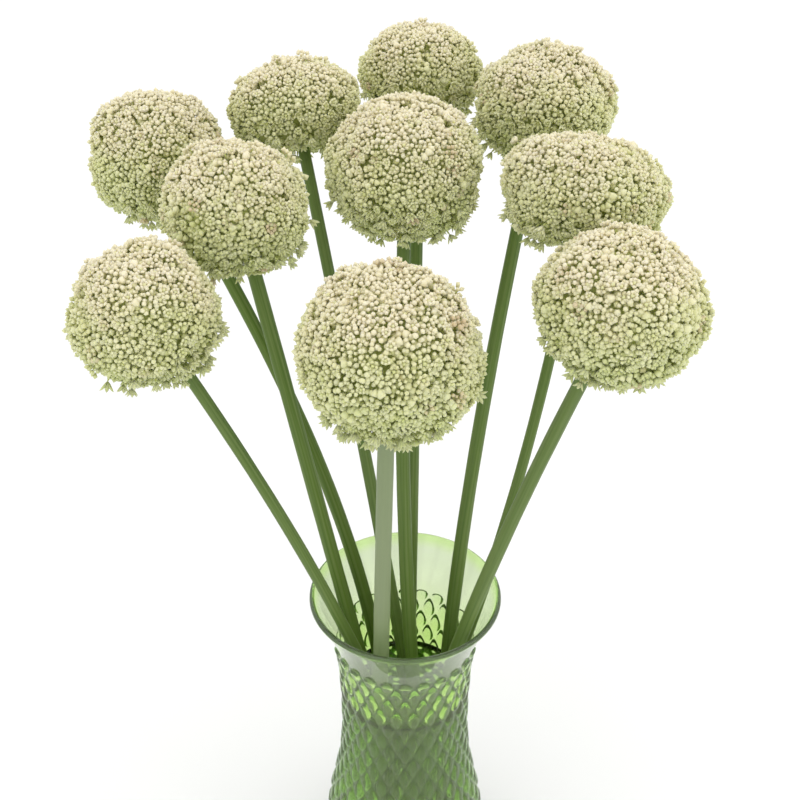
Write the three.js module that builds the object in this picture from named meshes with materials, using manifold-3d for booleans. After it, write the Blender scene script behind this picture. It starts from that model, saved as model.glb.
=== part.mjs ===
// Ten cream alliums standing in water in a moulded green glass vase with raised diamonds.
// Millimetres, +Z up. The origin is the centre of the vase's underside, and -Y is the front.
import * as THREE from 'three';
import { ConvexHull } from 'three/addons/math/ConvexHull.js';
import { mergeVertices } from 'three/addons/utils/BufferGeometryUtils.js';
import Module from 'manifold-3d';

const wasm = await Module();
wasm.setup();

// Driving sizes of the vase
const HEIGHT = 240;
const MOUTH_RADIUS = 55;
const NECK_RADIUS = 39;
const BELLY_RADIUS = 50.5;
const FOOT_RADIUS = 43;
const FOOT_HEIGHT = 9;
const FOOT_BEVEL = 1.2;
const WALL = 3.6;
const FLOOR = 12;
const FLOOR_CORNER = 8;
const BEAD = 4;
const WATER_LEVEL = 166;

// The clear gap between pieces that touch
const GAP = 0.3;

// Driving sizes of the raised diamonds: they stand on every second corner of a lattice, and the
// corners between them sink into the grooves
const DIAMONDS_AROUND = 24;
const PATTERN_BOTTOM = 14;
const PATTERN_ROWS = 19;
const PATTERN_ROW_HEIGHT = 10;
const GROOVE_DEPTH = 1.8;
const EDGE_GROOVE_DEPTH = 0.7;

// Driving sizes of the stems and heads. Shares are of the head's radius, and of the way from a
// floret's middle to the dips round it.
const STEM_SIDES = 8;
const STEM_STEPS = 9;
const STEM_FOOT_RADIUS = 4.8;
const STEM_TOP_RADIUS = 3.7;
const SOCKET_DEPTH = 12;
const HOLE_REACH = 4;
const FLORETS = 56;
const CORE_SHARE = 0.74;
const DISH_SHARE = 0.89;
const TEPAL_SHARE = 0.63;
const TEPAL_SPREAD = 0.2;
const LENGTH_SPREAD = 0.05;
const PLACE_SPREAD = 0.06;
const BARE_ANGLE = 0.34;
const HEAD_SEED = 100;

// Each flower has the place of its head's centre, its head's radius, how tall the head is beside
// its width, the place of its foot in the vase, its bow, which is how far the stem's middle stands
// from a straight line, and its stem's girth as a share of the stem radii above.
const FLOWERS = [
  { head: [-131, 83, 470], radius: 37.5, tall: 1, foot: [-14, 24], bow: [42, -25], girth: 0.95 },
  { head: [-83, 23, 469], radius: 37.5, tall: 0.93, foot: [9, -14], bow: [-2, 8], girth: 1 },
  { head: [-119, -38, 442], radius: 36, tall: 0.98, foot: [18, 4], bow: [18, -4], girth: 0.78 },
  { head: [-60, 114, 487], radius: 36.5, tall: 0.78, foot: [19, 21], bow: [8, -43], girth: 0.85 },
  { head: [8, 156, 491], radius: 36.5, tall: 0.82, foot: [1, 28], bow: [-1, -48], girth: 1 },
  { head: [0, 60, 472], radius: 41.5, tall: 0.93, foot: [20, -19], bow: [-9, -13], girth: 0.95 },
  { head: [-8, -62, 437], radius: 44, tall: 0.94, foot: [-17, -8], bow: [-1, 3], girth: 1.05 },
  { head: [75, 112, 488], radius: 41, tall: 0.81, foot: [24, 12], bow: [-18, -44], girth: 0.95 },
  { head: [87, 29, 474], radius: 42.5, tall: 0.74, foot: [-22, 17], bow: [11, -29], girth: 0.74 },
  { head: [95, -51, 453], radius: 39.5, tall: 0.9, foot: [-17, -23], bow: [-6, 14], girth: 0.92 },
];

// Colours and finishes
const glass = new THREE.MeshStandardMaterial({
  color: 0x7fa860, roughness: 0.08, metalness: 0, transparent: true, opacity: 0.45,
});
const clearWater = new THREE.MeshStandardMaterial({
  color: 0xcfe3c4, roughness: 0.03, metalness: 0, transparent: true, opacity: 0.3,
});
const greenStem = new THREE.MeshStandardMaterial({ color: 0x567d3a, roughness: 0.5, metalness: 0 });
const creamFloret = new THREE.MeshStandardMaterial({ color: 0xdcd6ae, roughness: 0.8, metalness: 0 });

// A small seeded random source, so that every build is the same: the last number times a factor
// plus a step, wrapped round at the range
const RANDOM_FACTOR = 1664525;
const RANDOM_STEP = 1013904223;
const RANDOM_RANGE = 2 ** 32;

function seededRandom(seed) {
  let state = seed;
  return () => {
    state = (state * RANDOM_FACTOR + RANDOM_STEP) % RANDOM_RANGE;
    return state / RANDOM_RANGE;
  };
}

// A closed solid from a geometry whose shared corners are merged
function solidFrom(geometry) {
  const bare = geometry.clone();
  bare.deleteAttribute('normal');
  bare.deleteAttribute('uv');
  const merged = mergeVertices(bare, 1e-4);
  const vertProperties = new Float32Array(merged.attributes.position.array);
  const triVerts = new Uint32Array(merged.index.array);
  return new wasm.Manifold(new wasm.Mesh({ numProp: 3, vertProperties, triVerts }));
}

// A geometry from a solid
function geometryFrom(solid) {
  const mesh = solid.getMesh();
  const geometry = new THREE.BufferGeometry();
  geometry.setAttribute('position', new THREE.BufferAttribute(mesh.vertProperties, 3));
  geometry.setIndex(new THREE.BufferAttribute(mesh.triVerts, 1));
  geometry.computeVertexNormals();
  return geometry;
}

// The vase's outer outline as [height, radius], from the foot of the pattern to below the mouth's bead
const PATTERN_TOP = PATTERN_BOTTOM + PATTERN_ROWS * PATTERN_ROW_HEIGHT;
const OUTLINE = [
  [PATTERN_BOTTOM, FOOT_RADIUS + 0.5],
  [30, BELLY_RADIUS - 2.5],
  [52, BELLY_RADIUS],
  [72, BELLY_RADIUS - 2.2],
  [98, NECK_RADIUS + 4.2],
  [122, NECK_RADIUS + 1],
  [148, NECK_RADIUS],
  [176, NECK_RADIUS + 0.6],
  [PATTERN_TOP, NECK_RADIUS + 3.4],
  [222, NECK_RADIUS + 8.6],
  [HEIGHT - BEAD, MOUTH_RADIUS - 1.6],
];
const OUTLINE_STEPS = 400;

const outline = new THREE.CatmullRomCurve3(
  OUTLINE.map(([z, r]) => new THREE.Vector3(z, r, 0)),
  false,
  'centripetal',
).getPoints(OUTLINE_STEPS);

// The outer radius at a height, read between the two nearest points of the outline
function outerRadius(z) {
  const found = outline.findIndex((point) => point.x >= z);
  const next = Math.max(found, 1);
  const low = outline[next - 1];
  const high = outline[next];
  return low.y + ((high.y - low.y) * (z - low.x)) / (high.x - low.x);
}

function innerRadius(z) {
  return outerRadius(z) - WALL;
}

// Heights of the rings of the plain band and of the smooth inner wall, and the flat floor's radius
const BAND_HEIGHTS = [211, 220, 229, HEIGHT - BEAD];
const INNER_HEIGHTS = [HEIGHT - 6, 218, 200, 176, 148, 122, 98, 72, 52, 34, FLOOR + FLOOR_CORNER];
const floorRadius = innerRadius(FLOOR + FLOOR_CORNER) - FLOOR_CORNER / 2;

// A turned solid: rings of points round the Z axis, closed at both ends by a point on the axis.
// Each ring has a height, a radius and, among the diamonds, the depth of its grooves.
function turned(rings, sides) {
  const positions = [0, 0, rings[0].z];
  for (const [row, ring] of rings.entries()) {
    for (let side = 0; side < sides; side += 1) {
      const angle = (side * 2 * Math.PI) / sides;
      const inGroove = (row + side) % 2 === 0;
      const radius = ring.radius - (inGroove ? ring.groove ?? 0 : 0);
      positions.push(radius * Math.cos(angle), radius * Math.sin(angle), ring.z);
    }
  }
  const last = rings.length - 1;
  positions.push(0, 0, rings[last].z);
  const at = (row, side) => 1 + row * sides + (side % sides);
  const end = 1 + rings.length * sides;
  const index = [];
  for (let side = 0; side < sides; side += 1) {
    index.push(0, at(0, side + 1), at(0, side));
    index.push(end, at(last, side), at(last, side + 1));
    for (let row = 0; row < last; row += 1) {
      const a = at(row, side);
      const b = at(row, side + 1);
      const c = at(row + 1, side + 1);
      const d = at(row + 1, side);
      // The edge across each square follows the groove, which joins the sunk corners
      if ((row + side) % 2 === 0) {
        index.push(a, b, c, a, c, d);
      } else {
        index.push(a, b, d, b, c, d);
      }
    }
  }
  const geometry = new THREE.BufferGeometry();
  geometry.setAttribute('position', new THREE.Float32BufferAttribute(positions, 3));
  geometry.setIndex(index);
  geometry.computeVertexNormals();
  return geometry;
}

// The vase: foot, raised diamonds, plain flared band, rounded mouth, smooth inside and thick floor
function makeVase() {
  const rings = [
    { z: 0, radius: FOOT_RADIUS - FOOT_BEVEL },
    { z: FOOT_BEVEL, radius: FOOT_RADIUS },
    { z: FOOT_HEIGHT, radius: FOOT_RADIUS },
  ];
  for (let row = 0; row <= PATTERN_ROWS; row += 1) {
    const z = PATTERN_BOTTOM + row * PATTERN_ROW_HEIGHT;
    const atEdge = row === 0 || row === PATTERN_ROWS;
    rings.push({ z, radius: outerRadius(z), groove: atEdge ? EDGE_GROOVE_DEPTH : GROOVE_DEPTH });
  }
  for (const z of BAND_HEIGHTS) {
    rings.push({ z, radius: outerRadius(z) });
  }
  rings.push({ z: HEIGHT - BEAD / 2, radius: MOUTH_RADIUS });
  rings.push({ z: HEIGHT - BEAD / 8, radius: MOUTH_RADIUS - BEAD / 8 });
  rings.push({ z: HEIGHT, radius: MOUTH_RADIUS - BEAD / 2 });
  rings.push({ z: HEIGHT - BEAD / 4, radius: MOUTH_RADIUS - BEAD });
  for (const z of INNER_HEIGHTS) {
    rings.push({ z, radius: innerRadius(z) });
  }
  rings.push({ z: FLOOR, radius: floorRadius });
  return turned(rings, DIAMONDS_AROUND * 2);
}

// A flower's stem as a curve from its foot on the floor to its head's centre, bowed in its middle
class StemCurve extends THREE.Curve {
  constructor(flower) {
    super();
    this.foot = new THREE.Vector3(...flower.foot, FLOOR + GAP);
    this.head = new THREE.Vector3(...flower.head);
    this.bow = new THREE.Vector3(...flower.bow, 0);
  }

  getPoint(t, target = new THREE.Vector3()) {
    return target.lerpVectors(this.foot, this.head, t).addScaledVector(this.bow, 4 * t * (1 - t));
  }
}

// A tapered round stem along its curve, cut flat at its foot, with its end inside its head's core.
// spare makes it wider and longer at both ends, as the plain hole that the stem stands in.
function makeStem(flower, spare = 0) {
  const curve = new StemCurve(flower);
  const coreHalfHeight = flower.radius * flower.tall * CORE_SHARE;
  const end = 1 - (coreHalfHeight - SOCKET_DEPTH) / curve.getLength();
  const footHeight = FLOOR + GAP - spare * HOLE_REACH;
  const geometry = new THREE.CylinderGeometry(
    STEM_TOP_RADIUS * flower.girth + spare,
    STEM_FOOT_RADIUS * flower.girth + spare,
    1,
    STEM_SIDES,
    STEM_STEPS,
  );
  const place = geometry.attributes.position;
  const forward = new THREE.Vector3();
  const across = new THREE.Vector3();
  const point = new THREE.Vector3();
  for (let i = 0; i < place.count; i += 1) {
    const t = (place.getY(i) + 0.5) * end;
    const along = curve.getTangent(t);
    across.set(1, 0, 0).addScaledVector(along, -along.x).normalize();
    forward.crossVectors(across, along);
    curve.getPoint(t, point);
    point.addScaledVector(across, place.getX(i)).addScaledVector(forward, place.getZ(i));
    if (t === 0) {
      point.addScaledVector(along, (footHeight - point.z) / along.z);
    }
    if (t === end) {
      point.addScaledVector(along, spare);
    }
    place.setXYZ(i, point.x, point.y, point.z);
  }
  return geometry;
}

// The water fills the vase from its floor to its level, with a plain hole for each stem
function makeWater() {
  const rings = [{ z: FLOOR + GAP, radius: floorRadius - GAP }];
  for (const z of INNER_HEIGHTS.filter((height) => height < WATER_LEVEL).reverse()) {
    rings.push({ z, radius: innerRadius(z) - GAP });
  }
  rings.push({ z: WATER_LEVEL, radius: innerRadius(WATER_LEVEL) - GAP });
  let water = solidFrom(turned(rings, DIAMONDS_AROUND));
  for (const flower of FLOWERS) {
    water = water.subtract(solidFrom(makeStem(flower, GAP)));
  }
  return geometryFrom(water);
}

// Directions spread evenly over a ball, from its top down to the bare cap where the stem comes in
function spreadDirections(count, random) {
  const directions = [];
  const lowest = -Math.cos(BARE_ANGLE);
  const turn = Math.PI * (3 - Math.sqrt(5));
  for (let k = 0; k < count; k += 1) {
    const up = 1 + ((lowest - 1) * (k + 0.5)) / count;
    const out = Math.sqrt(1 - up * up);
    const direction = new THREE.Vector3(out * Math.cos(k * turn), out * Math.sin(k * turn), up);
    direction.x += (random() - 0.5) * PLACE_SPREAD;
    direction.y += (random() - 0.5) * PLACE_SPREAD;
    direction.z += (random() - 0.5) * PLACE_SPREAD;
    directions.push(direction.normalize());
  }
  return directions;
}

// For each of the directions, the dips round it in order: the middles of the triangles that it
// makes with its neighbours, which are the faces of the hull round them all
function dipsAround(directions) {
  const around = new Map(directions.map((direction) => [direction, []]));
  for (const face of new ConvexHull().setFromPoints(directions).faces) {
    const corners = [0, 1, 2].map((i) => face.getEdge(i).head().point);
    const dip = new THREE.Vector3().add(corners[0]).add(corners[1]).add(corners[2]).normalize();
    for (const [i, corner] of corners.entries()) {
      around.get(corner).push({ dip, next: corners[(i + 1) % 3], before: corners[(i + 2) % 3] });
    }
  }
  for (const [direction, loose] of around) {
    const ring = [loose[0]];
    while (ring.length < loose.length) {
      const { before } = ring[ring.length - 1];
      ring.push(loose.find((entry) => entry.next === before));
    }
    around.set(direction, ring.map((entry) => entry.dip));
  }
  return around;
}

// A round or somewhat flattened flower head: florets that stand close together out of a smaller
// core. Each floret is a dished star whose tepal tips point at the dips round it, and the dips reach
// down to the core.
function makeHead(flower, seed) {
  const random = seededRandom(seed);
  const core = flower.radius * CORE_SHARE;
  const positions = [];
  const addFace = (...corners) => corners.forEach((corner) => positions.push(...corner));
  for (const [middle, dips] of dipsAround(spreadDirections(FLORETS, random))) {
    const length = flower.radius * (1 - LENGTH_SPREAD * random());
    const dish = middle.clone().setLength(length * DISH_SHARE);
    const roots = dips.map((dip) => dip.clone().setLength(core));
    const tips = dips.map((dip) => {
      const share = TEPAL_SHARE * (1 + TEPAL_SPREAD * (random() - 0.5));
      return middle.clone().lerp(dip, share).setLength(length);
    });
    for (let i = 0; i < dips.length; i += 1) {
      const j = (i + 1) % dips.length;
      addFace(dish, tips[i], tips[j]);
      addFace(tips[i], roots[i], tips[j]);
      addFace(tips[j], roots[i], roots[j]);
    }
  }
  const geometry = new THREE.BufferGeometry();
  geometry.setAttribute('position', new THREE.Float32BufferAttribute(positions, 3));
  geometry.scale(1, 1, flower.tall);
  const upright = new THREE.Vector3(0, 0, 1);
  const along = new StemCurve(flower).getTangent(1);
  geometry.applyQuaternion(new THREE.Quaternion().setFromUnitVectors(upright, along));
  geometry.translate(...flower.head);
  return geometryFrom(solidFrom(geometry).subtract(solidFrom(makeStem(flower, GAP))));
}

// The flowers in their vase
const group = new THREE.Group();

function addPiece(name, geometry, material) {
  const piece = new THREE.Mesh(geometry, material);
  piece.name = name;
  group.add(piece);
}

addPiece('vase', makeVase(), glass);
addPiece('water', makeWater(), clearWater);
for (const [i, flower] of FLOWERS.entries()) {
  const number = String(i + 1).padStart(2, '0');
  addPiece(`stem_${number}`, geometryFrom(solidFrom(makeStem(flower))), greenStem);
  addPiece(`flower_head_${number}`, makeHead(flower, HEAD_SEED + i), creamFloret);
}

export default group;
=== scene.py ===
# %% [markdown]
# # Alliums in a green glass vase
# Ten ball-headed alliums stand in water in a moulded glass vase. The measured model comes in as a
# fixed frame of plain solids, and this lesson dresses it: each solid is replaced by a finer surface
# that keeps its place and size. All new surfaces are worked out with numpy as arrays of points, and
# every finish is a node material.

# %% Load the measured model
import math

import bpy
import numpy as np
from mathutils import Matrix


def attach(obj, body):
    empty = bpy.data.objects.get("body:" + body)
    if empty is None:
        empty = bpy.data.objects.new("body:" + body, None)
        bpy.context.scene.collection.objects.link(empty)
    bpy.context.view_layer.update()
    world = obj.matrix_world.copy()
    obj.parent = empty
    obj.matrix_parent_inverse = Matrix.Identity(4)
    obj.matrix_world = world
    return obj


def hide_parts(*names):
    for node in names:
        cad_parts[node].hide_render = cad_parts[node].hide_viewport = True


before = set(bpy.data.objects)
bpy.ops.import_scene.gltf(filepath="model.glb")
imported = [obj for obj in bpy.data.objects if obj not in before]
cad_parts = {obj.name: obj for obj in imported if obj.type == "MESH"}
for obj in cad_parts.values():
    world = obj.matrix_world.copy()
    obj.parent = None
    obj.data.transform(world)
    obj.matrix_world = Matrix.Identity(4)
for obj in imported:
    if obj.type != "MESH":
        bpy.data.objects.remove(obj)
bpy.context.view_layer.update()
MM = 0.001
scene = bpy.context.scene
print("loaded", len(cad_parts), "solids")

# %% [markdown]
# ## Camera
# The photograph looks down at the flowers from a little above them and about half a metre in front.
# The camera is placed by three driving values: where it stands, how far it looks down and the focal
# length. With a square picture, the sensor's 36 mm are both the width and the height.

# %% Camera
CAMERA_PLACE = (-0.003, -0.519, 0.707)
CAMERA_LOOKS_DOWN = math.radians(32.9)

camera_data = bpy.data.cameras.new("camera")
camera_data.lens = 54
camera_data.sensor_width = 36
camera = bpy.data.objects.new("camera", camera_data)
camera.location = CAMERA_PLACE
camera.rotation_euler = (math.pi / 2 - CAMERA_LOOKS_DOWN, 0, 0)
scene.collection.objects.link(camera)
scene.camera = camera

# %% [markdown]
# ## Studio
# The photograph is high-key: a white ground, and soft light from all round with a little more from
# above. Glass shows mostly what surrounds it, so the sky here isn't one flat white: it is bright
# overhead and greyer low down, and that grey draws the edges of the glass. The plain view transform
# keeps white white.

# %% Studio light and floor
SKY_LOW = (0.72, 0.74, 0.70, 1)
SKY_HIGH = (1.0, 1.0, 1.0, 1)
SKY_LOW_AT = 0.05
SKY_HIGH_AT = 0.45
SKY_STRENGTH = 1.16

scene.view_settings.view_transform = "Standard"
world = bpy.data.worlds.new("studio")
world.use_nodes = True
scene.world = world
sky_nodes = world.node_tree.nodes
sky_links = world.node_tree.links
sky_place = sky_nodes.new("ShaderNodeTexCoord")
sky_split = sky_nodes.new("ShaderNodeSeparateXYZ")
sky_ramp = sky_nodes.new("ShaderNodeValToRGB")
sky_ramp.color_ramp.elements[0].position = SKY_LOW_AT
sky_ramp.color_ramp.elements[0].color = SKY_LOW
sky_ramp.color_ramp.elements[1].position = SKY_HIGH_AT
sky_ramp.color_ramp.elements[1].color = SKY_HIGH
sky_links.new(sky_place.outputs["Generated"], sky_split.inputs[0])
sky_links.new(sky_split.outputs["Z"], sky_ramp.inputs["Fac"])
sky_links.new(sky_ramp.outputs["Color"], sky_nodes["Background"].inputs["Color"])
sky_nodes["Background"].inputs["Strength"].default_value = SKY_STRENGTH


def add_soft_box(name, place, aim, size, power):
    """A square area light at place that faces aim. Size in metres, power in watts."""
    data = bpy.data.lights.new(name, "AREA")
    data.size = size
    data.energy = power
    light = bpy.data.objects.new(name, data)
    light.location = place
    direction = np.array(aim) - np.array(place)
    light.rotation_euler = (
        math.atan2(math.hypot(direction[0], direction[1]), -direction[2]),
        0,
        math.atan2(direction[1], direction[0]) - math.pi / 2,
    )
    scene.collection.objects.link(light)


add_soft_box("key_light", (-0.9, -0.7, 1.9), (0, 0, 0.4), 1.4, 3)
add_soft_box("fill_light", (1.4, -0.6, 1.2), (0, 0, 0.3), 1.0, 3)

# %% [markdown]
# ## Helpers for surfaces
# A surface is an array of points and an array of faces. Most pieces here are rings of points closed
# at both ends: a petal is a ring of four corners carried along its middle line, a stem is a ring of
# sixteen, and the vase is a ring of hundreds. One function joins such rings, and a second one repeats
# a finished shape at many places at once, as whole arrays.

# %% Rings, repeats and mesh objects
def signed_volume(points, faces):
    """Six times the volume that the triangles close in: positive when they face outwards."""
    a, b, c = (points[faces[:, i]] for i in range(3))
    return np.einsum("ij,ij->", a, np.cross(b, c))


def closed_rings(rings, start, end, falling=None):
    """Joins rings (count, corners, 3) into one closed surface with a point at each end. Square by
    square, two triangles fill the gap between neighbours in a ring and the ring after it. falling
    says for each square whether its diagonal falls instead of rising."""
    count, corners = rings.shape[:2]
    points = np.concatenate([[start], rings.reshape(-1, 3), [end]])
    row, side = np.meshgrid(np.arange(count - 1), np.arange(corners), indexing="ij")
    a = 1 + row * corners + side
    b = 1 + row * corners + (side + 1) % corners
    c = b + corners
    d = a + corners
    rising = np.stack([a, b, c, a, c, d], axis=-1)
    if falling is not None:
        rising = np.where(falling[..., None], np.stack([a, b, d, b, c, d], axis=-1), rising)
    ring = np.arange(corners)
    after = (ring + 1) % corners
    last = 1 + (count - 1) * corners
    top = last + corners
    faces = np.concatenate([
        rising.reshape(-1, 3),
        np.stack([np.zeros_like(ring), 1 + after, 1 + ring], axis=-1),
        np.stack([np.full_like(ring, top), last + ring, last + after], axis=-1),
    ])
    if signed_volume(points, faces) < 0:
        faces = faces[:, ::-1]
    return points, faces


def joined(shapes):
    """Several (points, faces, values) shapes as one."""
    starts = np.cumsum([0] + [len(points) for points, _, _ in shapes[:-1]])
    return (
        np.concatenate([points for points, _, _ in shapes]),
        np.concatenate([faces + start for (_, faces, _), start in zip(shapes, starts)]),
        np.concatenate([values for _, _, values in shapes]),
    )


def repeated(shape, places, turns, sizes):
    """The shape once for each place: its points are scaled, turned by a matrix whose columns are the
    copy's own axes, and moved. Returns points, faces, values and the copy that each point is in."""
    points, faces, values = shape
    copies = len(places)
    moved = np.einsum("kij,nj->kni", turns, points) * sizes[:, None, None] + places[:, None, :]
    steps = np.arange(copies)[:, None, None] * len(points)
    copy = np.repeat(np.arange(copies), len(points))
    return moved.reshape(-1, 3), (faces[None] + steps).reshape(-1, 3), np.tile(values, copies), copy


def new_piece(name, points, faces, attributes=()):
    """A smooth-shaded mesh object from arrays, with named values on its points."""
    mesh = bpy.data.meshes.new(name)
    mesh.vertices.add(len(points))
    mesh.vertices.foreach_set("co", np.ascontiguousarray(points, np.float32).ravel())
    mesh.loops.add(faces.size)
    mesh.loops.foreach_set("vertex_index", np.ascontiguousarray(faces, np.int32).ravel())
    mesh.polygons.add(len(faces))
    mesh.polygons.foreach_set("loop_start", np.arange(0, faces.size, 3, dtype=np.int32))
    mesh.update(calc_edges=True)
    mesh.shade_smooth()
    for key, values in dict(attributes).items():
        kind = "FLOAT" if values.ndim == 1 else "FLOAT_VECTOR"
        layer = mesh.attributes.new(key, kind, "POINT")
        layer.data.foreach_set("value" if values.ndim == 1 else "vector", values.astype(np.float32).ravel())
    piece = bpy.data.objects.new(name, mesh)
    scene.collection.objects.link(piece)
    print(name, len(faces), "triangles")
    return piece


def dress(piece, node, material):
    """Puts a finished piece in the place of its solid."""
    piece.data.materials.append(material)
    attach(piece, "root")
    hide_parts(node)


# %% [markdown]
# ## Helpers for finishes
# Each material is a small node tree round one Principled shader. Values that are the same all over
# are set on the shader itself. Colours that change over a piece come from noise in object space or
# from the values that were stored on the points when the surface was made.

# %% Node helpers
def new_material(name, **settings):
    """A material with one Principled shader, whose named inputs are set to constants."""
    material = bpy.data.materials.new(name)
    material.use_nodes = True
    shader = material.node_tree.nodes["Principled BSDF"]
    for socket, value in settings.items():
        shader.inputs[socket.replace("_", " ")].default_value = value
    return material, shader


def add_node(material, kind, inputs=(), **settings):
    """A node of that kind. inputs gives its sockets a constant or another node's output."""
    node = material.node_tree.nodes.new(kind)
    for key, value in settings.items():
        setattr(node, key, value)
    for key, value in dict(inputs).items():
        if isinstance(value, bpy.types.NodeSocket):
            material.node_tree.links.new(value, node.inputs[key])
        else:
            node.inputs[key].default_value = value
    return node


def mix_colour(material, share, first, second):
    """A blend of two colours, each a constant or a node's output, by a share from 0 to 1."""
    node = add_node(material, "ShaderNodeMix", {0: share, 6: first, 7: second}, data_type="RGBA")
    return node.outputs[2]


def stored(material, name):
    """The value that was stored on the points under that name."""
    return add_node(material, "ShaderNodeAttribute", attribute_name=name)


def spread(material, value, low, high):
    """A value from low to high as a share from 0 to 1, held at both ends."""
    node = add_node(material, "ShaderNodeMapRange", {0: value, 1: low, 2: high})
    return node.outputs[0]


def noise(material, scale, detail=2.0, place=None):
    """Soft random values in object space, or over another place, with the given scale."""
    place = place or add_node(material, "ShaderNodeTexCoord").outputs["Object"]
    sockets = {"Vector": place, "Scale": scale, "Detail": detail}
    return add_node(material, "ShaderNodeTexNoise", sockets).outputs["Fac"]


def add_bump(material, shader, height, strength, distance):
    """Fine relief on the shader's normal. distance is the relief's height in metres."""
    sockets = {"Height": height, "Strength": strength, "Distance": distance}
    bump = add_node(material, "ShaderNodeBump", sockets)
    material.node_tree.links.new(bump.outputs[0], shader.inputs["Normal"])


# %% [markdown]
# ## The vase
# The vase is moulded glass. Its outline waists in above a full belly and flares to the mouth. Below a
# plain band, rounded lozenges stand out with grooves between them. They are real relief in the
# surface here, because glass bends light at every slope and a painted pattern would stay flat. The
# rows and columns of the mesh step evenly through the pattern, and each square's diagonal follows the
# nearest groove, which keeps the grooves sharp.

# %% Sizes of the vase, as the solid has them
HEIGHT = 240 * MM
MOUTH_RADIUS = 55 * MM
NECK_RADIUS = 39 * MM
BELLY_RADIUS = 50.5 * MM
FOOT_RADIUS = 43 * MM
FOOT_HEIGHT = 9 * MM
WALL = 3.6 * MM
MOUTH_WALL = 2.5 * MM
FLOOR = 12 * MM
FLOOR_CORNER = 8 * MM
BEAD_RADIUS = 1.6 * MM
WATER_LEVEL = 166 * MM
LOZENGES_AROUND = 24
PATTERN_BOTTOM = 14 * MM
PATTERN_ROWS = 19
PATTERN_ROW_HEIGHT = 10 * MM
OUTLINE_HEIGHTS = np.array([14, 30, 52, 72, 98, 122, 148, 176, 204, 222, 236]) * MM
OUTLINE_RADII = np.array([
    FOOT_RADIUS + 0.5 * MM,
    BELLY_RADIUS - 2.5 * MM,
    BELLY_RADIUS,
    BELLY_RADIUS - 2.2 * MM,
    NECK_RADIUS + 4.2 * MM,
    NECK_RADIUS + 1 * MM,
    NECK_RADIUS,
    NECK_RADIUS + 0.6 * MM,
    NECK_RADIUS + 3.4 * MM,
    NECK_RADIUS + 8.6 * MM,
    MOUTH_RADIUS - 1.6 * MM,
])


# %% The outline as a smooth curve
def natural_spline(x, y):
    """Second slopes of the smoothest cubic through the points: each inner point's slope change is
    shared with its neighbours, and the two ends are straight."""
    gap = np.diff(x)
    matrix = np.eye(len(x))
    known = np.zeros(len(x))
    inner = np.arange(1, len(x) - 1)
    matrix[inner, inner - 1] = gap[:-1]
    matrix[inner, inner] = 2 * (gap[:-1] + gap[1:])
    matrix[inner, inner + 1] = gap[1:]
    known[inner] = 6 * (np.diff(y[1:]) / gap[1:] - np.diff(y[:-1]) / gap[:-1])
    return np.linalg.solve(matrix, known)


OUTLINE_BENDS = natural_spline(OUTLINE_HEIGHTS, OUTLINE_RADII)


def outer_radius(height):
    """The vase's radius at each height: between two points of the outline, the straight line plus
    the cubic that the two second slopes ask for."""
    after = np.clip(np.searchsorted(OUTLINE_HEIGHTS, height), 1, len(OUTLINE_HEIGHTS) - 1)
    before = after - 1
    gap = OUTLINE_HEIGHTS[after] - OUTLINE_HEIGHTS[before]
    share = (height - OUTLINE_HEIGHTS[before]) / gap
    rest = 1 - share
    line = rest * OUTLINE_RADII[before] + share * OUTLINE_RADII[after]
    bend = (rest**3 - rest) * OUTLINE_BENDS[before] + (share**3 - share) * OUTLINE_BENDS[after]
    return line + bend * gap**2 / 6


print("radius at the neck", round(float(outer_radius(np.array([148 * MM]))[0]) * 1000, 2), "mm")

# %% [markdown]
# ### The raised lozenges
# The pattern is a formula on a lattice of half lozenges: columns are counted round the vase and rows
# up it, and grooves run along the lines where their sum or their difference is even. The distance
# from a lozenge's middle is measured so that equal distances draw a lozenge with rounded corners. The
# glass is nearly flat there and drops into the groove at the edge, as a high power of the distance.
# Above the top row the half lozenges close in small arches.

# %% Relief of the lozenges
GROOVE_DEPTH = 1.8 * MM
EDGE_POWER = 4.2
CORNER_ROUNDNESS = 2.1
ARCH_ROWS = 0.26
ARCH_STEPS = 5
ARCH_STEP = 0.06
FINE = 6


def lozenge_distance(column, row):
    """How far a point is from its lozenge's middle: 0 there and 1 at its edge. In the pattern this is
    the rounded sum of the shares across the two groove directions. Above the top row it is an
    ellipse, so that the half lozenges there close in arches."""
    turn = (column + row) / 2
    back = (column - row) / 2
    across = 2 * np.abs(turn - np.floor(turn) - 0.5)
    along = 2 * np.abs(back - np.floor(back) - 0.5)
    lozenge = (across**CORNER_ROUNDNESS + along**CORNER_ROUNDNESS) ** (1 / CORNER_ROUNDNESS)
    offset = np.abs((column + PATTERN_ROWS) % 2 - 1)
    arch = 2 ** (1 / CORNER_ROUNDNESS) * np.hypot(offset, np.maximum(row - PATTERN_ROWS, 0) / ARCH_ROWS)
    return np.where(row > PATTERN_ROWS, arch, lozenge)


def groove_depth(column, row):
    """Depth of the relief: nothing in a lozenge's middle and the whole depth at its edge. It fades
    out over the lowest row, and above the arches the plain band lies as deep as the grooves."""
    share = np.clip(lozenge_distance(column, row), 0, 1) ** EDGE_POWER
    return GROOVE_DEPTH * share * np.clip(row / 1.5, 0, 1)


# %% Build the vase
def arc(middle_radius, middle_height, radius, start, end, steps):
    """Radii and heights along an arc in the outline's plane. Angles in degrees from outwards to up."""
    angle = np.radians(np.linspace(start, end, steps))
    return np.stack([middle_radius + radius * np.cos(angle), middle_height + radius * np.sin(angle)], axis=1)


def wall(height):
    """The wall's thickness at each height: even up to the neck, then thinning steadily to the mouth."""
    return WALL + (MOUTH_WALL - WALL) * np.clip((height - WATER_LEVEL) / (HEIGHT - WATER_LEVEL), 0, 1)


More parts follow.
